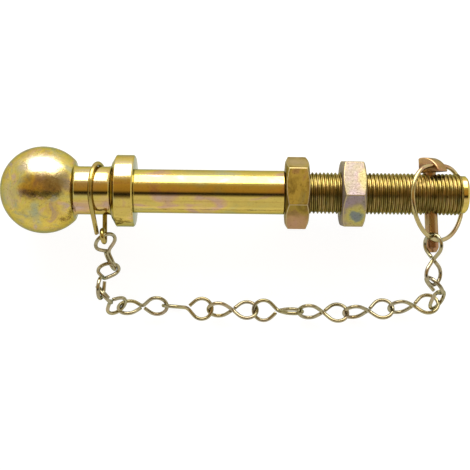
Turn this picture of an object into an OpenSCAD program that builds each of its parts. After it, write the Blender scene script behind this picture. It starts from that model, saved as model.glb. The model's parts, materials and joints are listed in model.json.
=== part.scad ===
// Ball stud with two thin lock nuts, a linch pin with a sprung ring and a tether chain.
// The stud lies along X, ball towards -X, with the origin at the centre of the collar's seat face.

/* [Ball and neck] */
// Diameter of the ball
ball_d = 50; // [44:0.5:56]
// Distance from the ball's centre to the collar's seat face
ball_to_seat = 52.5; // [50:0.5:64]
// Distance from the ball's centre to the flat shoulder behind it
shoulder_x = 18.2; // [16:0.2:20]
// Diameter of the neck
neck_d = 27.8; // [24:0.2:30]
// Radius of the fillet between neck and collar
neck_fillet = 2.9; // [1:0.1:4]
// Radius of the fillet between neck and shoulder
shoulder_fillet = 1.2; // [0.5:0.1:2]

/* [Collar] */
// Diameter of the collar
collar_d = 41.4; // [37:0.2:46]
// Length of the collar's straight rim
collar_t = 10.4; // [7:0.2:14]
// Length of the cone on the collar's back
collar_back = 2.3; // [1:0.1:4]
// Chamfer round the seat face
seat_chamfer = 0.8; // [0.3:0.1:1.5]

/* [Shank and thread] */
// Diameter of the plain shank
shank_d = 25.2; // [24.6:0.1:30]
// Length of the plain shank
shank_len = 85.8; // [60:0.2:120]
// Chamfer at the end of the shank
shank_chamfer = 0.5; // [0.1:0.1:1]
// Outside diameter of the thread
thread_d = 23.8; // [20:0.1:24]
// Length of the threaded end with its point
thread_len = 104.8; // [95:0.2:140]
// Pitch of the thread
thread_pitch = 2.2; // [1.6:0.1:3]
// Depth of the thread
thread_depth = 1.05; // [0.6:0.05:1.3]
// Length of the plain point
point_len = 3.6; // [2.4:0.1:7]
// Diameter of the plain point
point_d = 21.6; // [18:0.1:22]
// Chamfer at the end of the point
point_chamfer = 1.2; // [0.5:0.1:2]

/* [Nuts] */
// Width of the nuts across flats
nut_af = 36.8; // [34:0.2:41]
// Thickness of each nut
nut_t = 13.2; // [10:0.2:16]
// Height of the corner chamfer
nut_chamfer = 1.5; // [0.8:0.1:2.2]
// Inset of the round face from the flats
nut_face_inset = 0.5; // [0.2:0.1:1]
// Radial play between nut and thread
nut_play = 0.05; // [0.02:0.01:0.1]
// Gap from the shank's end to the inner nut
inner_nut_gap = 0.4; // [0.2:0.1:4]
// Free thread between the two nuts
between_nuts = 18.6; // [10:0.2:24]
// Turn of the inner nut about the stud, from a flat on top
inner_nut_turn = -9; // [-20:0.5:20]
// Turn of the lock nut about the stud, from a corner on top
lock_nut_turn = 5; // [-20:0.5:20]

/* [Linch pin] */
// Distance from the cross hole to the stud's end
hole_from_end = 20.8; // [16:0.2:28]
// Diameter of the cross hole
hole_d = 9.4; // [9.2:0.1:11]
// Diameter of the pin
pin_d = 7.4; // [6:0.1:7.6]
// Reach of the pin beyond the stud's axis
pin_reach = 33.4; // [28:0.2:40]
// Length of the pin's chamfered tip
pin_tip = 2.6; // [1.5:0.1:4]
// Diameter of the pin's end
pin_end_d = 4.4; // [3:0.1:6]
// Lean of the pin in its hole
pin_lean = 3; // [0:0.5:4]
// Thickness of the flattened head
head_t = 9; // [8:0.2:11]
// Radius of the head's round back
head_r = 11.8; // [11:0.1:13]
// Set of the round back's centre past the pin's axis
head_set = 1.6; // [1:0.1:2.2]
// Depth of the round back's centre under the head
head_sink = 3; // [2:0.1:4]
// Height of the head over the thread
head_h = 8.8; // [8.4:0.1:10]
// Reach of the head's flat side past the pin's axis
head_side = 4.3; // [4:0.1:6]
// Gap between the head and the thread
head_gap = 0.6; // [0.4:0.1:1]

/* [Linch ring] */
// Wire of the sprung ring
ring_wire = 2.4; // [2:0.1:3]
// Radius of the ring to the middle of its wire
ring_r = 24.6; // [22:0.2:30]
// Distance of the ring's centre from the stud's axis, towards the tip
ring_drop = 2; // [0:0.2:4]
// Bend radius where the ring turns into the head
ring_bend = 17; // [8:0.5:18]
// Turn of the head and ring about the pin
ring_turn = 44; // [35:1:55]
// Distance of the ring's pivot from the pin's axis
pivot_side = 5.5; // [4:0.1:6]
// Height of the ring's pivot over the head's underside
pivot_h = 3.6; // [3:0.1:4.5]
// Radial play of the ring in the head
pivot_play = 0.15; // [0.1:0.05:0.3]
// Place of the last link along the ring, from its lowest point
hook_turn = 17; // [5:1:30]

/* [Neck clip] */
// Wire of the neck clip
clip_wire = 2.5; // [2:0.1:3]
// Play between clip and neck
clip_play = 0.4; // [0.2:0.1:1]
// Distance of the clip from the ball's shoulder
clip_from_shoulder = 12.9; // [10:0.1:16]
// Lean of the clip along the stud
clip_lean = 10; // [4:1:14]
// Angle past half a turn where each leg starts
clip_wrap = 35; // [30:1:40]
// Length of the clip's free leg
tail_len = 19.5; // [14:0.5:24]
// Length of the leg that carries the eye
eye_leg = 24; // [20:0.5:28]
// Inside diameter of the eye
eye_d = 4.6; // [4:0.1:7]
// Sideways set of the leg that carries the eye
eye_set = 11; // [9:0.5:14]

/* [Chain] */
// Wire of the links
link_wire = 2.1; // [1.6:0.1:2.6]
// Length of a link outside
link_len = 31.2; // [30:0.1:33]
// Width of a link's loop outside
link_w = 14.4; // [13:0.1:16]
// Distance of each cut end from the middle of the waist
cut_gap = 2.5; // [2.3:0.1:3.5]
// Gap between links where they bear
link_gap = 0.3; // [0.1:0.05:0.5]
// Distance of the chain's run from the stud's axis
run_side = 68.5; // [60:1:85]
// Shift of the run towards the thread
run_shift = 7; // [-6:0.5:10]
// Heading of the first link, seen from above
first_yaw = -83; // [-110:1:-70]
// Fall of the first link
first_fall = 50; // [40:1:56]
// Lean of the knee at the clip's end, along the stud
first_lean = -17; // [-30:1:30]
// Lean of the knee at the ring's end, along the stud
last_lean = -18; // [-30:1:30]

/* [Hidden] */
$fn = 64;
wire_sides = 8;
overlap = 1;

// Places along the stud
ball_x = -ball_to_seat;
shoulder_at = ball_x + shoulder_x;
collar_from = -collar_t - collar_back;
stud_end = shank_len + thread_len;
hole_x = stud_end - hole_from_end;
inner_nut_x = shank_len + inner_nut_gap;
lock_nut_x = inner_nut_x + nut_t + between_nuts;
nut_ac = nut_af / cos(30);

// The thread's turns, and the half width of their crests and roots
turns = floor((thread_len - point_len) / thread_pitch);
thread_flat = thread_pitch / 12;

// The surface that the stud lies on, touched by the ball and by the lock nut's lowest corner
lie_slope = (ball_d / 2 - nut_ac / 2 * cos(lock_nut_turn)) / (lock_nut_x + nut_t - nut_chamfer - ball_x);
function floor_z(x) = -ball_d / 2 + (x - ball_x) * lie_slope;

// The pin's head, in the pin's own frame: Y along the pin, X along the ring's pivot
head_base = thread_d / 2 + head_gap;
head_centre = [-head_set, head_base - head_sink];
pivot_y = head_base + pivot_h;
bend_y = pivot_y - ring_bend;
bend_x = sqrt(pow(ring_r - ring_bend, 2) - pow(bend_y + ring_drop, 2));
bend_angle = atan2(bend_y + ring_drop, bend_x);

// The clip's own frame: Y across the stud, X along the front-to-back line
clip_x = shoulder_at + clip_from_shoulder;
clip_r = neck_d / 2 + clip_play + clip_wire / 2;
eye_r = (eye_d + clip_wire) / 2;

// A link's loop: a round end with two straight legs that meet at the waist
loop_r = (link_w - link_wire) / 2;
loop_x = link_len / 2 - link_wire / 2 - loop_r;
leg_angle = asin(loop_r / loop_x);

function unit(v) = v / norm(v);
function carried(side, way) = unit(side - (side * way) * way);
function heading(yaw, rise) = [cos(rise) * cos(yaw), cos(rise) * sin(yaw), sin(rise)];
function turned_y(v, a) = [v.x * cos(a) + v.z * sin(a), v.y, v.z * cos(a) - v.x * sin(a)];
function turned_z(v, a) = [v.x * cos(a) - v.y * sin(a), v.x * sin(a) + v.y * cos(a), v.z];

// Where the first link bears in the clip's eye and the last link on the ring
function clip_place(v) = [clip_x, 0, 0] + turned_y(v, -90 - clip_lean);
function pin_place(v) = [hole_x, 0, 0] + turned_z(turned_y(v, ring_turn), pin_lean);
eye_from = clip_r * [-cos(clip_wrap), -sin(clip_wrap), 0];
eye_way = [cos(eye_set) * sin(clip_wrap), -cos(eye_set) * cos(clip_wrap), -sin(eye_set)];
eye_side = [cos(clip_wrap), sin(clip_wrap), 0];
eye_end = eye_from + eye_leg * eye_way;
eye_centre = eye_end + eye_r * eye_side;
first_bearing = clip_place(eye_centre - (eye_d / 2 - link_gap / 2) * eye_side);
hook_r = ring_r - ring_wire / 2 - link_gap / 2;
last_bearing = pin_place([-hook_r * sin(hook_turn), -ring_drop - hook_r * cos(hook_turn), pivot_side]);

// How far each joint's earlier and later link reach past the joint, in wires laid one over the other
hook = link_wire + link_gap;
straight = [0.5, 0.5];
hooks = [[0, 1.15], [1.2, 0.05], [1.45, 0.05], [1.25, 0.15],
    straight, straight, straight, straight, straight, straight,
    [0.1, 1.1], [0.7, 0.9], [0.6, 0]];
function pitch(i) = link_len - link_wire - hook * (hooks[i][1] + hooks[i + 1][0]);

// The run of links that lies level on the surface, each with its own heading
run_yaw = [3, -4, 0, -1, -1, 7, 7];
run_first = 3;
run_links = len(run_yaw);
run_h = link_w / 2;
run_len = [for (i = [0 : run_links - 1]) pitch(run_first + i)] * [for (a = run_yaw) cos(a)];
run_x = (first_bearing.x + last_bearing.x - run_len) / 2 + run_shift;
run_from = [run_x, -run_side, floor_z(run_x) + run_h];
function run_point(i) = i == 0 ? run_from :
    let (p = run_point(i - 1) + pitch(run_first + i - 1) * heading(run_yaw[i - 1], 0))
    [p.x, p.y, floor_z(p.x) + run_h];

// The upper point at the distances a from p and b from q, leaning from upright towards +X
function knee(p, a, q, b, lean) =
    let (
        span = norm(q - p),
        way = unit(q - p),
        up = carried([sin(lean), 0, cos(lean)], way),
        along = (span * span + a * a - b * b) / (2 * span))
    p + along * way + sqrt(max(0, a * a - along * along)) * up;

// The first link falls from the clip, and two links stand as a knee at each end of the run
first_end = first_bearing + pitch(0) * heading(first_yaw, -first_fall);
run_end = run_point(run_links);
run_last = run_first + run_links;
joints = concat(
    [first_bearing, first_end, knee(first_end, pitch(1), run_from, pitch(2), first_lean)],
    [for (i = [0 : run_links]) run_point(i)],
    [knee(run_end, pitch(run_last), last_bearing, pitch(run_last + 1), last_lean), last_bearing]);
link_rolls = [-25, 15, 85, -57, 86, 48, 8, 50, 55, 55, 22, 38];

module along_x(x) { translate([x, 0, 0]) rotate([0, 90, 0]) children(); }

module fillet_ring(r, f) {
    rotate_extrude() translate([r, 0]) difference() {
        translate([-overlap, 0]) square([f + overlap, f]);
        translate([f, f]) circle(f);
    }
}

// Threaded rod along Z: each turn a ring with two flanks, a narrow crest and a narrow root
module threaded_rod() {
    crest_r = thread_d / 2;
    root_r = crest_r - thread_depth;
    rod_len = thread_len - point_len;
    rotate_extrude() polygon([
        [0, -overlap],
        [root_r, -overlap],
        for (i = [0:turns - 1])
            let (mid = (i + 0.5) * thread_pitch)
            each [
                [root_r, mid - thread_pitch / 2 + thread_flat],
                [crest_r, mid - thread_flat],
                [crest_r, mid + thread_flat],
                [root_r, mid + thread_pitch / 2 - thread_flat]
            ],
        [root_r, rod_len],
        [0, rod_len]
    ]);
}

module ball_stud() {
    color("goldenrod") difference() {
        union() {
            intersection() {
                translate([ball_x, 0, 0]) sphere(d = ball_d, $fn = 96);
                along_x(ball_x - ball_d / 2) cylinder(d = ball_d, h = ball_d / 2 + shoulder_x);
            }
            along_x(ball_x) cylinder(d = neck_d, h = ball_to_seat);
            along_x(shoulder_at) fillet_ring(neck_d / 2, shoulder_fillet);
            translate([collar_from, 0, 0]) rotate([0, -90, 0]) fillet_ring(neck_d / 2, neck_fillet);
            along_x(collar_from) cylinder(d1 = neck_d + 2 * neck_fillet, d2 = collar_d, h = collar_back);
            along_x(-collar_t) cylinder(d = collar_d, h = collar_t - seat_chamfer);
            along_x(-seat_chamfer) cylinder(d1 = collar_d, d2 = collar_d - 2 * seat_chamfer, h = seat_chamfer);
            along_x(-overlap) cylinder(d = shank_d, h = shank_len - shank_chamfer + overlap);
            along_x(shank_len - shank_chamfer)
                cylinder(d1 = shank_d, d2 = shank_d - 2 * shank_chamfer, h = shank_chamfer);
            along_x(shank_len) threaded_rod();
            along_x(stud_end - point_len - overlap)
                cylinder(d = point_d, h = point_len - point_chamfer + overlap);
            along_x(stud_end - point_chamfer)
                cylinder(d1 = point_d, d2 = point_d - 2 * point_chamfer, h = point_chamfer);
        }
        translate([hole_x, 0, 0]) rotate([90, 0, 0]) cylinder(d = hole_d, h = thread_d + 2 * overlap, center = true);
    }
}

// A thin hexagon nut along X from its origin, a corner on top, chamfered on both faces
module nut() {
    face_r = nut_af / 2 - nut_face_inset;
    rim_r = nut_ac / 2 + overlap;
    chamfer_z = nut_chamfer * (rim_r - face_r) / (nut_ac / 2 - face_r);
    bore_r = thread_d / 2 + nut_play;
    mouth_r = bore_r + nut_chamfer / 2;
    mouth_z = nut_chamfer / 2;
    rotate([0, 90, 0]) difference() {
        intersection() {
            cylinder(d = nut_ac, h = nut_t, $fn = 6);
            rotate_extrude() polygon([[0, 0], [face_r, 0], [rim_r, chamfer_z], [rim_r, nut_t - chamfer_z],
                [face_r, nut_t], [0, nut_t]]);
        }
        rotate_extrude() polygon([[0, -overlap], [mouth_r, -overlap], [mouth_r, 0], [bore_r, mouth_z],
            [bore_r, nut_t - mouth_z], [mouth_r, nut_t], [mouth_r, nut_t + overlap], [0, nut_t + overlap]]);
    }
}

module inner_nut() {
    color("peru") translate([inner_nut_x, 0, 0]) rotate([30 + inner_nut_turn, 0, 0]) nut();
}

module lock_nut() {
    color("peru") translate([lock_nut_x, 0, 0]) rotate([lock_nut_turn, 0, 0]) nut();
}

module at_pin() { translate([hole_x, 0, 0]) rotate([0, 0, pin_lean]) rotate([0, ring_turn, 0]) children(); }

module linch_pin() {
    color("rosybrown") at_pin() difference() {
        union() {
            rotate([90, 0, 0]) translate([0, 0, -head_base - overlap])
                cylinder(d = pin_d, h = pin_reach - pin_tip + head_base + overlap);
            rotate([90, 0, 0]) translate([0, 0, pin_reach - pin_tip])
                cylinder(d1 = pin_d, d2 = pin_end_d, h = pin_tip);
            rotate([0, -90, 0]) linear_extrude(head_t, center = true) intersection() {
                translate(head_centre) circle(head_r, $fn = 96);
                translate([-head_side, head_base]) square([head_side + 2 * head_r, head_h]);
            }
        }
        translate([0, pivot_y, pivot_side]) rotate([0, 90, 0])
            cylinder(d = ring_wire + 2 * pivot_play, h = head_t + 2 * overlap, center = true);
    }
}

// Points of an arc of radius r about c in the plane of the two unit vectors u and v
function arc_points(c, r, from, to, steps, u, v) =
    [for (i = [0 : steps]) let (a = from + (to - from) * i / steps) c + r * (cos(a) * u + sin(a) * v)];

// Round wire swept along a path, with a frame that is carried along without twist
module wire_sweep(path, wire) {
    last = len(path) - 1;
    r = wire / 2 / sqrt(cos(180 / wire_sides));
    ways = [for (i = [0 : last]) unit(path[min(i + 1, last)] - path[max(i - 1, 0)])];
    seed = [1, 1, 3];
    sides = [for (i = 0, n = carried(seed, ways[0]); i <= last;
        n = i < last ? carried(n, ways[i + 1]) : n, i = i + 1) n];
    points = [for (i = [0 : last]) for (k = [0 : wire_sides - 1]) let (a = 360 * k / wire_sides)
        path[i] + r * (cos(a) * sides[i] + sin(a) * cross(ways[i], sides[i]))];
    walls = [for (i = [0 : last - 1]) for (k = [0 : wire_sides - 1])
        let (a = i * wire_sides + k, b = i * wire_sides + (k + 1) % wire_sides)
        each [[a, a + wire_sides, b + wire_sides], [a, b + wire_sides, b]]];
    caps = [[for (k = [0 : wire_sides - 1]) k],
        [for (k = [wire_sides - 1 : -1 : 0]) last * wire_sides + k]];
    polyhedron(points, concat(walls, caps));
}

module linch_ring() {
    x = [1, 0, 0];
    y = [0, 1, 0];
    bend_steps = 4;
    ring_steps = 28;
    color("tan") at_pin() translate([0, 0, pivot_side]) wire_sweep(concat(
        [[-overlap, pivot_y, 0]],
        arc_points([-bend_x, bend_y, 0], ring_bend, 90, 180 - bend_angle, bend_steps, x, y),
        [for (i = [1 : ring_steps - 1]) let (a = 180 - bend_angle + (180 + 2 * bend_angle) * i / ring_steps)
            [ring_r * cos(a), ring_r * sin(a) - ring_drop, 0]],
        arc_points([bend_x, bend_y, 0], ring_bend, bend_angle, 90, bend_steps, x, y),
        [[overlap, pivot_y, 0]]), ring_wire);
}

module neck_clip() {
    x = [1, 0, 0];
    y = [0, 1, 0];
    wrap_steps = 22;
    eye_steps = 12;
    eye_turn = 265;
    tail_way = [-sin(clip_wrap), -cos(clip_wrap), 0];
    color("darkgoldenrod") translate([clip_x, 0, 0]) rotate([0, -90 - clip_lean, 0]) wire_sweep(concat(
        [clip_r * [cos(clip_wrap), -sin(clip_wrap), 0] + tail_len * tail_way],
        arc_points([0, 0, 0], clip_r, -clip_wrap, 180 + clip_wrap, wrap_steps, x, y),
        arc_points(eye_centre, eye_r, 0, eye_turn, eye_steps, -eye_side, eye_way)), clip_wire);
}

// One loop of a link from its cut end round to its whole leg, as distances [along, across] from the waist
loop_steps = 14;
waist_bend = 2.6;
loop_path = concat(
    [cut_gap * [cos(leg_angle), -sin(leg_angle)]],
    [for (i = [0 : loop_steps]) let (a = (90 + leg_angle) * (2 * i / loop_steps - 1))
        [loop_x + loop_r * cos(a), loop_r * sin(a)]],
    [waist_bend * [cos(leg_angle), sin(leg_angle)]]);

// A figure-eight link along X: the loop towards -X lies flat and the other stands upright
module link() {
    flat = [for (p = loop_path) [-p.x, p.y, 0]];
    upright = [for (p = loop_path) [p.x, 0, p.y]];
    last = len(loop_path) - 1;
    waist_steps = 4;
    waist = [for (i = [1 : waist_steps - 1]) let (t = i / waist_steps)
        pow(1 - t, 2) * flat[last] + t * t * upright[last]];
    wire_sweep(concat(flat, waist, [for (i = [last : -1 : 0]) upright[i]]), link_wire);
}

// Link number i, laid through its two joints
module chain_link(i) {
    way = unit(joints[i + 1] - joints[i]);
    reach = hook * (hooks[i + 1][0] - hooks[i][1]);
    color("darkkhaki") translate((joints[i] + joints[i + 1] + reach * way) / 2)
        rotate([0, -asin(way.z), atan2(way.y, way.x)]) rotate([link_rolls[i], 0, 0]) link();
}

ball_stud();
inner_nut();
lock_nut();
linch_pin();
linch_ring();
neck_clip();
for (i = [0 : len(link_rolls) - 1])
    chain_link(i);
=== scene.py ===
import json
import math

import bmesh
import bpy
from mathutils import Matrix, Vector


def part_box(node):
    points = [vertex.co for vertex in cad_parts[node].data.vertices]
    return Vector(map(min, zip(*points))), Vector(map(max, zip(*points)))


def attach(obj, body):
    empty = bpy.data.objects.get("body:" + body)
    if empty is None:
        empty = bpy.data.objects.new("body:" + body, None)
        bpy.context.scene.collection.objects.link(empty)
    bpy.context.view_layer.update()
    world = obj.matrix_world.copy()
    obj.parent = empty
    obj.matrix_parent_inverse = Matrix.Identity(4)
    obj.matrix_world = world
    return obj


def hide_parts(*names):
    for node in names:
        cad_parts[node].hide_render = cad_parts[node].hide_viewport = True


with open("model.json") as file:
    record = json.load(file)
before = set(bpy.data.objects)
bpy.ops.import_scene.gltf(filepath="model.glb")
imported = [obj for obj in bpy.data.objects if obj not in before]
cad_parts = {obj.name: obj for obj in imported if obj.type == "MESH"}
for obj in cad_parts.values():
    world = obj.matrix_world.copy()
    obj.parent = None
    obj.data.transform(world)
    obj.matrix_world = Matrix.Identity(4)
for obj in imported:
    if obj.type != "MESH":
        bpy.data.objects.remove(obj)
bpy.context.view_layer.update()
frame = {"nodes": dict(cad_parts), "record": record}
bodyRows = frame["record"]["behaviour"]["bodies"]
bodyOf = {node: body for body, nodes in bodyRows.items() for node in nodes}
mm = 0.001
sameSpot = 1e-7                                            # metres between vertices that are one
sliver = 1e-6                                              # metres across a face that is only a leftover
alongX = Matrix.Rotation(math.radians(90), 4, "Y")         # lays a shape made along Z along X


# Each input takes a value, or the socket that feeds it
def addNode(tree, kind, inputs=None, **settings):
    node = tree.nodes.new(kind)
    for key, value in settings.items():
        setattr(node, key, value)
    for key, value in (inputs or {}).items():
        if isinstance(value, bpy.types.NodeSocket):
            tree.links.new(value, node.inputs[key])
        else:
            node.inputs[key].default_value = value
    return node


def mathNode(tree, operation, *values):
    return addNode(tree, "ShaderNodeMath", dict(enumerate(values)), operation=operation).outputs[0]


def noiseNode(tree, vector, scale, grain):
    return addNode(tree, "ShaderNodeTexNoise", {"Vector": vector, "Scale": scale, **grain}).outputs


def mapRange(tree, value, start, end, low, high, **settings):
    limits = {"From Min": start, "From Max": end, "To Min": low, "To Max": high}
    return addNode(tree, "ShaderNodeMapRange", {"Value": value, **limits}, **settings).outputs["Result"]


def mixColour(tree, factor, under, over, blend="MIX"):
    mix = addNode(tree, "ShaderNodeMix", {"Factor": factor, "A": under, "B": over},
                  data_type="RGBA", blend_type=blend)
    return mix.outputs["Result"]


def rampColour(tree, factor, stops):
    ramp = addNode(tree, "ShaderNodeValToRGB", {"Fac": factor})
    while len(ramp.color_ramp.elements) < len(stops):
        ramp.color_ramp.elements.new(0.5)
    for element, (place, colour) in zip(ramp.color_ramp.elements, stops):
        element.position = place
        element.color = (*colour, 1)
    return ramp.outputs["Color"]


# One round patch with a wavering outline over the colour so far, placed in millimetres; it draws real stains,
# and also painted highlights and painted dark reflections
def addStainOrPaintedLight(tree, place, under, look, stainOrPaintedLight):
    waver = look["waver"]
    wobble = noiseNode(tree, place, look["filmScale"] * look["waverShare"], look["waverGrain"])["Color"]
    spread = [1 / (reach * mm) for reach in stainOrPaintedLight["reach"]]
    centre = [-at * mm * k - waver / 2 for at, k in zip(stainOrPaintedLight["at"], spread)]
    near = addNode(tree, "ShaderNodeMapping", {"Vector": place, "Scale": spread, "Location": centre})
    moved = addNode(tree, "ShaderNodeVectorMath", {
        0: wobble, 1: (waver, waver, waver), 2: near.outputs["Vector"]}, operation="MULTIPLY_ADD")
    fade = addNode(tree, "ShaderNodeTexGradient", {"Vector": moved.outputs["Vector"]},
                   gradient_type="SPHERICAL").outputs["Fac"]
    mask = mapRange(tree, fade, 0, look["stainOrPaintedLightEdge"], 0, stainOrPaintedLight["amount"])
    return mixColour(tree, mask, under, rampColour(tree, fade, stainOrPaintedLight["stops"]))


# Yellow zinc: cloudy gold with pink and green patches, fine tool marks and small dark specks
def zincFinish(name, look):
    material = bpy.data.materials.new(name)
    material.use_nodes = True
    tree = material.node_tree
    shader = tree.nodes["Principled BSDF"]
    shader.inputs["Metallic"].default_value = 1.0
    shader.inputs["Specular Tint"].default_value = look["rim"]

    place = addNode(tree, "ShaderNodeTexCoord").outputs["Object"]
    cloudMap = addNode(tree, "ShaderNodeMapping", {
        "Vector": place, "Scale": look["cloudStretch"], "Location": look["shift"]}).outputs["Vector"]
    cloud = noiseNode(tree, cloudMap, look["cloudScale"], look["cloudGrain"])
    film = noiseNode(tree, cloudMap, look["filmScale"], look["filmGrain"])
    patch = noiseNode(tree, place, look["filmScale"] * look["patchShare"], look["patchGrain"])
    filmMask = mapRange(tree, patch["Fac"], *look["patchEdge"], 0, look["filmAmount"])
    colour = mixColour(tree, filmMask, rampColour(tree, cloud["Fac"], look["stops"]),
                       rampColour(tree, film["Fac"], look["film"]))
    # real stains, and painted highlights and painted shade laid the same way
    for stainOrPaintedLight in look["stainsAndPaintedLight"]:
        colour = addStainOrPaintedLight(tree, place, colour, look, stainOrPaintedLight)
    speck = noiseNode(tree, place, look["speckScale"], look["speckGrain"])
    specks = rampColour(tree, speck["Fac"], look["speckStops"])
    colour = mixColour(tree, look["speckAmount"], colour, specks, "MULTIPLY")

    markMap = addNode(tree, "ShaderNodeMapping", {"Vector": place, "Scale": look["markStretch"]})
    marks = noiseNode(tree, markMap.outputs["Vector"], look["markScale"], look["markGrain"])["Fac"]
    rough = mapRange(tree, marks, *look["markRange"], *look["rough"])
    bump = addNode(tree, "ShaderNodeBump", {
        "Height": marks, "Strength": look["markDepth"], "Distance": look["markHeight"]})
    tree.links.new(colour, shader.inputs["Base Color"])
    tree.links.new(rough, shader.inputs["Roughness"])
    tree.links.new(bump.outputs["Normal"], shader.inputs["Normal"])
    return material


# What the finishes share unless one of them says otherwise
plainZinc = {
    "rim": (0.45, 0.5, 0.4, 1), "rough": (0.2, 0.3),
    "cloudScale": 90, "cloudStretch": (0.5, 1, 1), "shift": (0.03, 0.01, 0.02),
    "cloudGrain": {"Detail": 4, "Roughness": 0.55, "Distortion": 0.6},
    "filmScale": 60, "filmAmount": 0.5,
    "filmGrain": {"Detail": 2, "Roughness": 0.5, "Distortion": 1.0},
    "film": [(0.3, (0.3, 0.4, 0.36)), (0.42, (0.5, 0.46, 0.14)), (0.52, (0.62, 0.46, 0.1)),
             (0.62, (0.6, 0.36, 0.28)), (0.74, (0.42, 0.36, 0.4))],
    "patchShare": 0.7, "patchEdge": (0.42, 0.62), "patchGrain": {"Detail": 3, "Roughness": 0.6},
    "waver": 0.8, "waverShare": 2, "waverGrain": {"Detail": 2}, "stainOrPaintedLightEdge": 0.45, "stainsAndPaintedLight": [],
    "speckScale": 900, "speckAmount": 0.5, "speckGrain": {"Detail": 2, "Roughness": 0.7},
    "speckStops": [(0.28, (0.62, 0.56, 0.45)), (0.42, (1, 1, 1))],
    "markScale": 1.0, "markStretch": (400, 400, 400), "markDepth": 0.05, "markHeight": 0.0002,
    "markGrain": {"Detail": 3, "Roughness": 0.6}, "markRange": (0.3, 0.7),
}
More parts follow.
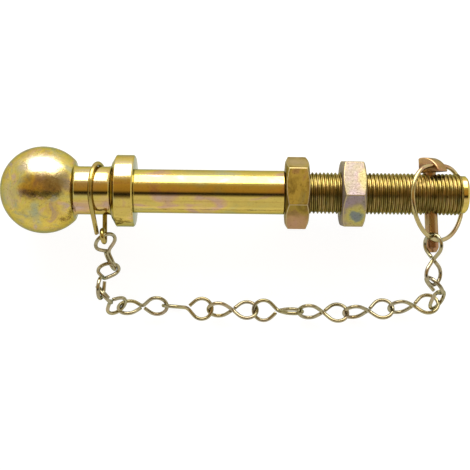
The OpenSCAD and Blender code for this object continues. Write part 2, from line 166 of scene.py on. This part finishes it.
zincLooks = {
    "ballZinc": {
        "cloudScale": 105, "cloudStretch": (1, 1, 1), "rough": (0.18, 0.3), "speckAmount": 0.9,
        "markStretch": (260, 260, 260), "markDepth": 0.8, "filmScale": 120,
        "stops": [(0.28, (0.3, 0.3, 0.19)), (0.38, (0.45, 0.36, 0.11)), (0.5, (0.62, 0.46, 0.08)),
                  (0.58, (0.54, 0.37, 0.09)), (0.68, (0.4, 0.27, 0.15)), (0.8, (0.28, 0.28, 0.22))],
        "stainsAndPaintedLight": [
            # painted highlight: pale pinkish patch on the ball's upper side where the softbox highlight
            # falls, whitening it
            {"at": (-51, 14, 20), "reach": (17, 9, 14), "amount": 0.75,
             "stops": [(0, (0.5, 0.4, 0.16)), (0.4, (0.54, 0.45, 0.3)), (1, (0.58, 0.5, 0.42))]},
            # painted dark reflection: dark brown patch on top of the ball that deepens and widens the
            # reflected dark ceiling band
            {"at": (-42, 4, 23), "reach": (14, 8, 13), "amount": 0.75,
             "stops": [(0, (0.48, 0.36, 0.14)), (0.3, (0.36, 0.25, 0.12)),
                       (0.6, (0.2, 0.15, 0.08)), (1, (0.17, 0.14, 0.08))]},
            {"at": (-53.5, -14, 21), "reach": (3.5, 11, 10), "amount": 0.5,
             "stops": [(0, (0.5, 0.42, 0.16)), (0.5, (0.34, 0.35, 0.22)), (1, (0.27, 0.32, 0.25))]},
            {"at": (-70, -4, 18), "reach": (11, 11, 11), "amount": 0.5,
             "stops": [(0, (0.5, 0.4, 0.14)), (0.6, (0.36, 0.32, 0.18)), (1, (0.32, 0.3, 0.2))]},
        ],
    },
    "turnedZinc": {
        "rough": (0.1, 0.16), "markStretch": (2600, 50, 50), "markDepth": 0.03,
        "filmScale": 90, "filmAmount": 0.38,
        "stops": [(0.28, (0.42, 0.37, 0.13)), (0.42, (0.52, 0.39, 0.09)), (0.54, (0.57, 0.42, 0.1)),
                  (0.62, (0.5, 0.32, 0.15)), (0.74, (0.42, 0.29, 0.22))],
        "stainsAndPaintedLight": [
            # painted highlight: pale patch on the collar's upper side where the softbox highlight falls,
            # whitening it
            {"at": (-5, 12, 17), "reach": (10, 9, 12), "amount": 0.7,
             "stops": [(0, (0.54, 0.42, 0.14)), (1, (0.58, 0.5, 0.38))]},
            # painted highlight and painted reflection: pinkish patch on the neck's upper side that whitens
            # its highlight and turns its reflected brown mauve
            {"at": (-24, 7, 12), "reach": (13, 11, 12), "amount": 0.6,
             "stops": [(0, (0.54, 0.42, 0.14)), (1, (0.54, 0.4, 0.3))]},
        ],
    },
    "threadZinc": {
        "cloudScale": 110, "cloudStretch": (5, 1, 1), "rough": (0.26, 0.42), "speckAmount": 0.8,
        "filmScale": 160, "filmAmount": 0.15,
        "stops": [(0.3, (0.12, 0.095, 0.025)), (0.47, (0.24, 0.18, 0.045)),
                  (0.6, (0.36, 0.25, 0.08)), (0.74, (0.22, 0.14, 0.05))],
    },
    "innerNutZinc": {
        "cloudScale": 120, "cloudStretch": (1, 0.5, 0.5), "shift": (0.11, 0.02, 0.05),
        "rough": (0.4, 0.55), "speckAmount": 1.0, "markStretch": (900, 900, 900), "markDepth": 0.3,
        "filmScale": 90, "filmAmount": 0.6,
        "film": [(0.3, (0.2, 0.19, 0.1)), (0.44, (0.36, 0.28, 0.05)), (0.52, (0.22, 0.13, 0.035)),
                 (0.62, (0.34, 0.19, 0.11)), (0.76, (0.3, 0.2, 0.16))],
        "stops": [(0.3, (0.12, 0.08, 0.013)), (0.42, (0.22, 0.145, 0.025)), (0.52, (0.33, 0.23, 0.04)),
                  (0.62, (0.27, 0.16, 0.05)), (0.75, (0.2, 0.13, 0.04))],
        "stainsAndPaintedLight": [
            # painted light: the upper and lower sides get paler patches than the darker front, brightness by
            # side that comes from how the light falls
            {"at": (93, 19, 9), "reach": (14, 8, 14), "amount": 0.75,
             "stops": [(0, (0.3, 0.2, 0.06)), (0.4, (0.36, 0.27, 0.13)), (1, (0.4, 0.29, 0.19))]},
            {"at": (92, -19, 8), "reach": (14, 9, 15), "amount": 0.75,
             "stops": [(0, (0.3, 0.2, 0.06)), (0.4, (0.46, 0.27, 0.13)), (1, (0.5, 0.28, 0.19))]},
        ],
    },
    "lockNutZinc": {
        "cloudScale": 120, "cloudStretch": (1, 0.6, 0.6), "rough": (0.5, 0.7), "speckAmount": 1.0,
        "markStretch": (1000, 1000, 1000), "markDepth": 0.6, "filmScale": 110, "filmAmount": 0.6,
        "film": [(0.3, (0.34, 0.33, 0.3)), (0.44, (0.37, 0.33, 0.17)), (0.54, (0.33, 0.26, 0.25)),
                 (0.64, (0.37, 0.28, 0.3)), (0.76, (0.33, 0.29, 0.32))],
        "stops": [(0.3, (0.24, 0.2, 0.13)), (0.45, (0.31, 0.255, 0.2)),
                  (0.58, (0.34, 0.255, 0.24)), (0.72, (0.31, 0.26, 0.26))],
        "stainsAndPaintedLight": [
            # real grey-blue iridescent ring in a yellow rim; its yellow also paints the lower side brighter
            # than the pinkish top, painted light that offsets the softbox's highlight on top
            {"at": (125.5, -13, 12), "reach": (8.5, 9.5, 11), "amount": 0.95,
             "stops": [(0, (0.42, 0.3, 0.16)), (0.22, (0.56, 0.46, 0.11)), (0.5, (0.52, 0.46, 0.13)),
                       (0.68, (0.24, 0.27, 0.2)), (1, (0.22, 0.24, 0.25))]},
            {"at": (131, 9, 18), "reach": (6, 12, 10), "amount": 0.7,
             "stops": [(0, (0.38, 0.28, 0.18)), (0.5, (0.42, 0.36, 0.14)), (1, (0.4, 0.36, 0.13))]},
        ],
    },
    "paleEdgeZinc": {
        "rough": (0.3, 0.4), "filmAmount": 0.2,
        "stops": [(0.3, (0.34, 0.26, 0.12)), (0.5, (0.46, 0.36, 0.18)), (0.7, (0.4, 0.3, 0.16))],
    },
    "pinZinc": {
        "cloudScale": 70, "rough": (0.24, 0.34), "filmAmount": 0.3,
        "stops": [(0.3, (0.28, 0.16, 0.06)), (0.48, (0.4, 0.21, 0.11)), (0.68, (0.38, 0.26, 0.11))],
    },
    "wireZinc": {
        "rough": (0.14, 0.22), "filmAmount": 0.35,
        "stops": [(0.3, (0.3, 0.24, 0.1)), (0.48, (0.46, 0.37, 0.19)),
                  (0.62, (0.4, 0.25, 0.13)), (0.75, (0.36, 0.17, 0.1))],
    },
    "clipZinc": {
        "rough": (0.16, 0.24), "filmAmount": 0.25,
        "stops": [(0.3, (0.27, 0.2, 0.05)), (0.48, (0.42, 0.32, 0.09)), (0.66, (0.36, 0.24, 0.09))],
    },
    "chainZinc": {
        "cloudScale": 110, "rough": (0.1, 0.18), "filmAmount": 0.25,
        "stops": [(0.3, (0.18, 0.155, 0.08)), (0.48, (0.37, 0.325, 0.2)), (0.66, (0.32, 0.265, 0.15))],
    },
}
zinc = {name: zincFinish(name, {**plainZinc, **look}) for name, look in zincLooks.items()}
print("finishes made")


def newObject(bm, name):
    bmesh.ops.remove_doubles(bm, verts=bm.verts, dist=sameSpot)
    bmesh.ops.recalc_face_normals(bm, faces=bm.faces)
    mesh = bpy.data.meshes.new(name)
    bm.to_mesh(mesh)
    bm.free()
    obj = bpy.data.objects.new(name, mesh)
    bpy.context.scene.collection.objects.link(obj)
    return obj


# Joins or cuts two closed shapes and drops the second one
def combine(obj, other, operation):
    step = obj.modifiers.new(operation, "BOOLEAN")
    step.operation = operation
    step.solver = "MANIFOLD"
    step.object = other
    shaped = obj.evaluated_get(bpy.context.evaluated_depsgraph_get())
    obj.data = bpy.data.meshes.new_from_object(shaped)
    obj.modifiers.clear()
    bpy.data.objects.remove(other)


def finishPiece(obj, node, materials, sharpAngle=32):
    bm = bmesh.new()
    bm.from_mesh(obj.data)
    bmesh.ops.dissolve_degenerate(bm, edges=bm.edges, dist=sliver)  # joining and cutting leave slivers
    bm.to_mesh(obj.data)
    bm.free()
    obj.data.materials.clear()
    for material in materials:
        obj.data.materials.append(zinc[material])
    obj.data.shade_smooth()
    obj.data.set_sharp_from_angle(angle=math.radians(sharpAngle))
    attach(obj, bodyOf[node])
    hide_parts(node)


# Corners (along, radius, rounding) of a turned outline, each rounding laid as a short curve
def roundedOutline(corners, steps=5):
    points = []
    for i, (x, r, rounding) in enumerate(corners):
        here = Vector((x, r))
        if rounding == 0 or i in (0, len(corners) - 1):
            points.append(here)
            continue
        before = here + (Vector(corners[i - 1][:2]) - here).normalized() * rounding
        after = here + (Vector(corners[i + 1][:2]) - here).normalized() * rounding
        for k in range(steps + 1):
            t = k / steps
            points.append(before * (1 - t) ** 2 + here * 2 * t * (1 - t) + after * t ** 2)
    return points


# Turned solid along X from its outline in millimetres
def turned(outline, segments):
    bm = bmesh.new()
    verts = [bm.verts.new((p.x * mm, 0, p.y * mm)) for p in outline]
    edges = [bm.edges.new(pair) for pair in zip(verts, verts[1:])]
    bmesh.ops.spin(bm, geom=verts + edges, cent=(0, 0, 0), axis=(1, 0, 0), angle=math.tau,
                   steps=segments, use_merge=True)
    return bm


def straightBar(diameter, length, segments):
    bm = bmesh.new()
    bmesh.ops.create_cone(bm, cap_ends=True, segments=segments, radius1=diameter / 2 * mm,
                          radius2=diameter / 2 * mm, depth=length * mm)
    return bm


# Millimetres, but ridgeHalf, crestHalf and leadIn are shares of the pitch
# Edge, foot, rim and root give the roundings of the outline's corners
studSizes = {
    "ballD": 50, "ballX": -52.5, "shoulder": 18.2, "shoulderFillet": 2.3, "shoulderEdge": 0.9,
    "neckD": 27.8, "neckFillet": 2.9,
    "collarD": 41.4, "collarT": 10.4, "collarBack": 2.3, "collarFoot": 0.3, "collarRim": 0.5,
    "seatChamfer": 0.8, "seatEdge": 0.25, "seatRoot": 0.5,
    "shankD": 25.2, "shankEnd": 85.8, "shankChamfer": 0.5, "shankEdge": 0.2, "shankRim": 0.1,
    "threadD": 23.8, "pitch": 2.2, "threadDepth": 1.05, "threadEnd": 187, "threadTaper": 1.6,
    "ridgeHalf": 0.46, "crestHalf": 0.07, "ridgeSink": 0.35, "leadIn": 1.5,
    "trimIn": 1, "trimOver": 0.2,
    "pointD": 21.6, "pointChamfer": 1.2, "pointFoot": 0.05, "pointEdge": 0.3, "pointRim": 0.2,
    "end": 190.6, "holeX": 169.8, "holeD": 9.4,
    "segments": 96, "arcSteps": 48, "turnSteps": 48, "holeSegments": 48,
}


# The thread is a ridge wound round its core, trimmed where it runs out at either end
def makeThread(s):
    crestR = s["threadD"] / 2
    footR = crestR - s["threadDepth"] - s["ridgeSink"]
    half, crest = s["ridgeHalf"] * s["pitch"], s["crestHalf"] * s["pitch"]
    startX = s["shankEnd"] - s["leadIn"] * s["pitch"]
    section = [(-half, footR), (-crest, crestR), (crest, crestR), (half, footR)]
    ridge = bmesh.new()
    face = ridge.faces.new([ridge.verts.new(((startX + x) * mm, 0, r * mm)) for x, r in section])
    steps = round((s["threadEnd"] - startX) / s["pitch"] * s["turnSteps"])
    bmesh.ops.spin(ridge, geom=[face], cent=(0, 0, 0), axis=(1, 0, 0),
                   dvec=(s["pitch"] / s["turnSteps"] * mm, 0, 0),
                   angle=math.tau * steps / s["turnSteps"], steps=steps)
    thread = newObject(ridge, "thread")
    trimX = startX + s["trimIn"]
    trim = roundedOutline([
        (trimX, 0, 0), (trimX, s["threadD"], 0), (s["shankEnd"] + s["trimIn"], s["threadD"], 0),
        (s["threadEnd"] - s["threadTaper"], crestR + s["trimOver"], 0),
        (s["threadEnd"], s["pointD"] / 2, 0), (s["threadEnd"], 0, 0)])
    combine(thread, newObject(turned(trim, s["segments"]), "trim"), "INTERSECT")
    return thread


def makeStud(s):
    ballR, neckR, collarR, shankR, crestR, pointR = (
        s[key] / 2 for key in ("ballD", "neckD", "collarD", "shankD", "threadD", "pointD"))
    rootR = crestR - s["threadDepth"]
    shoulderX = s["ballX"] + s["shoulder"]
    shoulderR = math.sqrt(ballR ** 2 - s["shoulder"] ** 2)
    collarX = -s["collarT"] - s["collarBack"]
    arcAngle = math.pi - math.atan2(shoulderR, s["shoulder"]) - s["shoulderEdge"] / ballR
    angles = [arcAngle * i / s["arcSteps"] for i in range(s["arcSteps"] + 1)]
    ball = [Vector((s["ballX"] - ballR * math.cos(a), ballR * math.sin(a))) for a in angles]
    body = roundedOutline([
        tuple(ball.pop()) + (0,),
        (shoulderX, shoulderR, s["shoulderEdge"]),
        (shoulderX, neckR, s["shoulderFillet"]),
        (collarX, neckR, s["neckFillet"]),
        (collarX, neckR + s["neckFillet"], s["collarFoot"]),
        (-s["collarT"], collarR, s["collarRim"]),
        (-s["seatChamfer"], collarR, s["seatEdge"]),
        (0, collarR - s["seatChamfer"], s["seatEdge"]),
        (0, shankR, s["seatRoot"]),
        (s["shankEnd"] - s["shankChamfer"], shankR, s["shankEdge"]),
        (s["shankEnd"], shankR - s["shankChamfer"], s["shankRim"]),
        (s["shankEnd"], rootR, s["shankRim"]),
        (s["threadEnd"], rootR, 0),
        (s["threadEnd"], pointR, s["pointFoot"]),
        (s["end"] - s["pointChamfer"], pointR, s["pointEdge"]),
        (s["end"], pointR - s["pointChamfer"], s["pointRim"]),
        (s["end"], 0, 0)])
    stud = newObject(turned(ball + body, s["segments"]), "ballStud")
    combine(stud, makeThread(s), "UNION")
    drill = straightBar(s["holeD"], 2 * s["threadD"], s["holeSegments"])
    bmesh.ops.rotate(drill, verts=drill.verts, matrix=Matrix.Rotation(math.radians(90), 3, "X"))
    bmesh.ops.translate(drill, verts=drill.verts, vec=(s["holeX"] * mm, 0, 0))
    combine(stud, newObject(drill, "drill"), "DIFFERENCE")
    finishPiece(stud, "ball_stud", ["turnedZinc", "threadZinc", "ballZinc"])
    for polygon in stud.data.polygons:                     # slots 0 turned, 1 thread, 2 ball
        x = polygon.center.x / mm
        polygon.material_index = 1 if s["shankEnd"] < x < s["threadEnd"] else 2 if x < shoulderX else 0


makeStud(studSizes)
print("stud turned and threaded")

nutSizes = {
    "acrossFlats": 36.8, "thickness": 13.2, "chamfer": 1.5, "faceInset": 0.5, "faceRound": 0.2,
    "boreD": 23.9, "mouth": 0.75, "over": 1,               # over: how far a cutter stands past the nut
    "edge": 0.3, "edgeSegments": 2, "edgeAngle": 25, "sharpAngle": 20, "segments": 96,
    "inner_nut": {"x": 86.2, "turn": -9, "material": "innerNutZinc"},
    "lock_nut": {"x": 118, "turn": 35, "material": "lockNutZinc"},
}


def makeNut(s, node):
    t, mouth, over = s["thickness"], s["mouth"], s["over"]
    cornerR = s["acrossFlats"] / 2 / math.cos(math.radians(30))
    faceR = s["acrossFlats"] / 2 - s["faceInset"]
    rimR = cornerR + over
    chamferX = s["chamfer"] * (rimR - faceR) / (cornerR - faceR)
    boreR = s["boreD"] / 2
    mouthR = boreR + mouth
    own = s[node]
    bm = straightBar(2 * cornerR, t, 6)
    bmesh.ops.transform(bm, verts=bm.verts, matrix=Matrix.Translation((t / 2 * mm, 0, 0)) @ alongX)
    nut = newObject(bm, node + "Hex")
    barrel = roundedOutline([
        (0, 0, 0), (0, faceR, s["faceRound"]), (chamferX, rimR, 0),
        (t - chamferX, rimR, 0), (t, faceR, s["faceRound"]), (t, 0, 0)])
    combine(nut, newObject(turned(barrel, s["segments"]), "barrel"), "INTERSECT")
    bore = roundedOutline([
        (-over, 0, 0), (-over, mouthR, 0), (0, mouthR, 0), (mouth, boreR, 0),
        (t - mouth, boreR, 0), (t, mouthR, 0), (t + over, mouthR, 0), (t + over, 0, 0)])
    combine(nut, newObject(turned(bore, s["segments"]), "bore"), "DIFFERENCE")
    nut.data.transform(Matrix.Translation((own["x"] * mm, 0, 0))
                       @ Matrix.Rotation(math.radians(own["turn"]), 4, "X"))
    finishPiece(nut, node, [own["material"], "paleEdgeZinc"], s["sharpAngle"])
    soften = nut.modifiers.new("soften", "BEVEL")
    soften.width = s["edge"] * mm
    soften.material = 1                                    # the rounded edges get the paler, smoother finish
    soften.segments = s["edgeSegments"]
    soften.limit_method = "ANGLE"
    soften.angle_limit = math.radians(s["edgeAngle"])


for node in ("inner_nut", "lock_nut"):
    makeNut(nutSizes, node)
print("nuts made")

pinSizes = {
    "x": 169.8, "lean": 3, "turn": 44,
    "pinD": 7.4, "reach": 33.4, "tip": 2.6, "tipRound": 0.6, "endD": 4.4, "endRound": 0.5, "shaftIn": 2,
    "headT": 9, "headR": 11.8, "headSet": 1.6, "headBase": 12.5, "headSink": 3, "headTop": 21.3,
    "headSide": 4.3, "edge": 0.7, "edgeSegments": 3, "edgeAngle": 40, "shortEdge": 0.5,
    "pivotSide": 5.5, "pivotY": 16.1, "pivotD": 2.7, "pivotOver": 2,
    "segments": 48, "headSegments": 96,
}


# A disc cut flat below, behind and on top, thickened along X and rounded along its edges
def makePinHead(s):
    head = bmesh.new()
    bmesh.ops.create_circle(head, cap_ends=True, segments=s["headSegments"], radius=s["headR"] * mm)
    centre = Matrix.Translation((0, (s["headBase"] - s["headSink"]) * mm, -s["headSet"] * mm))
    bmesh.ops.transform(head, verts=head.verts, matrix=centre @ alongX)
    flats = [((0, s["headBase"], 0), (0, -1, 0)), ((0, 0, -s["headSide"]), (0, 0, -1)),
             ((0, s["headTop"], 0), (0, 1, 0))]
    for point, outwards in flats:
        bmesh.ops.bisect_plane(head, geom=head.verts[:] + head.edges[:] + head.faces[:],
                               plane_co=[at * mm for at in point], plane_no=outwards, clear_outer=True)
    bmesh.ops.remove_doubles(head, verts=head.verts, dist=s["shortEdge"] * mm)  # leaves room for the bevel
    sides = bmesh.ops.extrude_face_region(head, geom=head.faces[:])
    moved = [v for v in sides["geom"] if isinstance(v, bmesh.types.BMVert)]
    bmesh.ops.translate(head, verts=moved, vec=(s["headT"] * mm, 0, 0))
    bmesh.ops.translate(head, verts=head.verts, vec=(-s["headT"] / 2 * mm, 0, 0))
    bmesh.ops.recalc_face_normals(head, faces=head.faces)
    sharp = math.radians(s["edgeAngle"])
    corners = [e for e in head.edges if len(e.link_faces) == 2 and e.calc_face_angle() > sharp]
    bmesh.ops.bevel(head, geom=corners, offset=s["edge"] * mm, segments=s["edgeSegments"],
                    profile=0.5, affect="EDGES", material=-1)
    return newObject(head, "head")


# The pin in its own frame, Y along the pin and X along the ring's pivot, then put in the cross hole
def makePin(s):
    pinR, shaftEnd = s["pinD"] / 2, s["headBase"] + s["shaftIn"]
    shaft = turned(roundedOutline([
        (-s["reach"], 0, 0), (-s["reach"], s["endD"] / 2, s["endRound"]),
        (-s["reach"] + s["tip"], pinR, s["tipRound"]), (shaftEnd, pinR, 0), (shaftEnd, 0, 0)]), s["segments"])
    bmesh.ops.rotate(shaft, verts=shaft.verts, matrix=Matrix.Rotation(math.radians(90), 3, "Z"))
    pin = newObject(shaft, "linchPin")
    combine(pin, makePinHead(s), "UNION")
    drill = straightBar(s["pivotD"], s["headT"] + s["pivotOver"], s["segments"])
    pivot = Matrix.Translation((0, s["pivotY"] * mm, s["pivotSide"] * mm))
    bmesh.ops.transform(drill, verts=drill.verts, matrix=pivot @ alongX)
    combine(pin, newObject(drill, "pivotDrill"), "DIFFERENCE")
    pin.data.transform(Matrix.Translation((s["x"] * mm, 0, 0))
                       @ Matrix.Rotation(math.radians(s["lean"]), 4, "Z")
                       @ Matrix.Rotation(math.radians(s["turn"]), 4, "Y"))
    finishPiece(pin, "linch_pin", ["pinZinc"])


makePin(pinSizes)
print("linch pin made")

# Fuller is the share of its thickness that a wire gains, and reach the length that each cut end gains
wirePieces = {
    "linch_ring": {"name": "linchRing", "wire": 2.4, "fuller": 0.05, "reach": 0,
                   "slot": "ring_zinc", "material": "wireZinc"},
    "neck_clip": {"name": "neckClip", "wire": 2.5, "fuller": 0.085, "reach": 0,
                  "slot": "ring_zinc", "material": "clipZinc"},
}
for node in frame["nodes"]:
    if node.startswith("chain_link"):
        wirePieces[node] = {"name": "chainLink" + node[-2:], "wire": 2.1, "fuller": 0.05, "reach": 0.9,
                            "slot": "chain_zinc", "material": "chainZinc"}
wireShaping = {"joinAngle": 35, "joinShape": 70, "endAngle": 60, "flatAngle": 1, "endCrease": 0.8,
               "levels": 2, "sharpAngle": 180}


# Drawn wire: the frame's eight-sided wire made round, with its cut ends kept sharp
def makeWire(node, s, shaping):
    bm = bmesh.new()
    bm.from_mesh(frame["nodes"][node].data)
    bmesh.ops.remove_doubles(bm, verts=bm.verts, dist=sliver)
    bmesh.ops.join_triangles(bm, faces=bm.faces, angle_face_threshold=math.radians(shaping["joinAngle"]),
                             angle_shape_threshold=math.radians(shaping["joinShape"]))
    bm.normal_update()
    crease = bm.edges.layers.float.new("crease_edge")
    sharp, flat = math.radians(shaping["endAngle"]), math.radians(shaping["flatAngle"])
    ends = []
    for face in bm.faces:
        angles = [edge.calc_face_angle(0) for edge in face.edges]
        if max(angles) > sharp and all(angle > sharp or angle < flat for angle in angles):
            ends.append(face)
    for vert in {vert for face in ends for vert in face.verts}:
        normal = next(face.normal for face in vert.link_faces if face in ends)
        vert.co += normal * s["reach"] * mm
    for edge in bm.edges:
        if edge.calc_face_angle(0) > sharp:
            edge[crease] = shaping["endCrease"]
    fuller = s["fuller"] * s["wire"] * mm                  # makes up for what subdivision takes off the wire
    for vert in bm.verts:
        vert.co += vert.normal * fuller
    wire = newObject(bm, s["name"])
    smooth = wire.modifiers.new("round", "SUBSURF")
    smooth.levels = shaping["levels"]
    smooth.render_levels = shaping["levels"]
    finishPiece(wire, node, [s["material"]], shaping["sharpAngle"])


for node, sizes in wirePieces.items():
    makeWire(node, sizes, wireShaping)
print("ring, clip and chain made")

studio = {
    "eye": (0.05766, -0.0247, 0.576), "roll": 0.67, "viewWidth": 0.2707, "sensor": 36,
    "floorSize": 3, "floorGap": 0.0001, "floorTone": 0.2, "floorRough": 0.9, "floorGlow": 0.88,
}


def makeCamera(s):
    camera = bpy.data.cameras.new("camera")
    camera.sensor_width = s["sensor"]
    camera.lens = camera.sensor_width * s["eye"][2] / s["viewWidth"]
    eye = bpy.data.objects.new("camera", camera)
    eye.location = s["eye"]
    eye.rotation_euler = (0, 0, math.radians(s["roll"]))
    bpy.context.scene.collection.objects.link(eye)
    bpy.context.scene.camera = eye


# Pale floor that shows near white to the camera and in the metal, and keeps the shadow
def floorFinish(s):
    material = bpy.data.materials.new("paleFloor")
    material.use_nodes = True
    tree = material.node_tree
    shader = tree.nodes["Principled BSDF"]
    shader.inputs["Base Color"].default_value = (s["floorTone"], s["floorTone"], s["floorTone"], 1)
    shader.inputs["Roughness"].default_value = s["floorRough"]
    shader.inputs["Emission Color"].default_value = (1, 1, 1, 1)
    path = addNode(tree, "ShaderNodeLightPath").outputs
    seen = mathNode(tree, "MAXIMUM", path["Is Camera Ray"], path["Is Glossy Ray"])
    seenToo = mathNode(tree, "MAXIMUM", seen, path["Is Transmission Ray"])
    glow = mathNode(tree, "MULTIPLY", seenToo, s["floorGlow"])
    tree.links.new(glow, shader.inputs["Emission Strength"])
    return material


# The part lies on its ball and on a corner of the lock nut, so the floor slopes a little along X
def makeFloor(s):
    low, nutLow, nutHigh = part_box("ball_stud")[0], *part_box("lock_nut")
    ballX = low.x + studSizes["ballD"] / 2 * mm
    slope = math.atan2(nutLow.z - low.z, nutHigh.x - nutSizes["chamfer"] * mm - ballX)
    bm = bmesh.new()
    bmesh.ops.create_grid(bm, x_segments=2, y_segments=2, size=s["floorSize"])
    bmesh.ops.rotate(bm, verts=bm.verts, matrix=Matrix.Rotation(-slope, 3, "Y"))
    bmesh.ops.translate(bm, verts=bm.verts, vec=(ballX, 0, low.z - s["floorGap"]))
    floor = newObject(bm, "floor")
    floor.data.materials.append(floorFinish(s))


makeCamera(studio)
makeFloor(studio)

# Where the lamp stands, how it is tipped, its two sides and its power
softbox = {"at": (0.04, 0.75, 0.36), "tip": -90, "sides": (1.05, 0.72), "power": 15}


def makeLamp(name, s):
    lamp = bpy.data.lights.new(name, "AREA")
    lamp.shape = "RECTANGLE"
    lamp.size, lamp.size_y = s["sides"]
    lamp.energy = s["power"]
    obj = bpy.data.objects.new(name, lamp)
    obj.location = s["at"]
    obj.rotation_euler = (math.radians(s["tip"]), 0, 0)
    bpy.context.scene.collection.objects.link(obj)


makeLamp("softbox", softbox)

# The room: pale walls and a dark ceiling, by the angle in degrees from straight up towards +Y
room = {
    "ceiling": [
        (-78, (0.95, 0.95, 0.95)), (-57, (0.95, 0.95, 0.93)), (-55, (0.62, 0.5, 0.4)),
        (-53, (0.95, 0.95, 0.93)), (-30, (0.95, 0.95, 0.93)), (-22, (0.25, 0.2, 0.15)),
        (-16, (0.02, 0.02, 0.015)), (-9, (0.03, 0.025, 0.02)), (-2, (0.5, 0.32, 0.12)),
        (10, (0.6, 0.38, 0.14)), (32, (0.6, 0.42, 0.2)), (46, (1, 1, 1))],
    "walls": (0.95, 0.95, 0.95, 1),
    "ends": (44, 70),                                      # where the ceiling gives way to the walls along X
}


def makeRoom(s):
    world = bpy.data.worlds.new("room")
    world.use_nodes = True
    bpy.context.scene.world = world
    tree = world.node_tree
    way = addNode(tree, "ShaderNodeTexCoord").outputs["Generated"]
    split = addNode(tree, "ShaderNodeSeparateXYZ", {"Vector": way}).outputs
    across = mathNode(tree, "ARCTAN2", split["Y"], split["Z"])
    along = mathNode(tree, "ABSOLUTE", mathNode(tree, "ARCTAN2", split["X"], split["Z"]))
    turn = mapRange(tree, across, -math.pi, math.pi, 0, 1)
    nearEnd, farEnd = (math.radians(angle) for angle in s["ends"])
    edge = mapRange(tree, along, nearEnd, farEnd, 0, 1, interpolation_type="SMOOTHSTEP")
    shade = rampColour(tree, turn, [(angle / 360 + 0.5, colour) for angle, colour in s["ceiling"]])
    tree.links.new(mixColour(tree, edge, shade, s["walls"]), tree.nodes["Background"].inputs["Color"])


makeRoom(room)
bpy.context.scene.view_settings.view_transform = "Standard"
print("studio set")
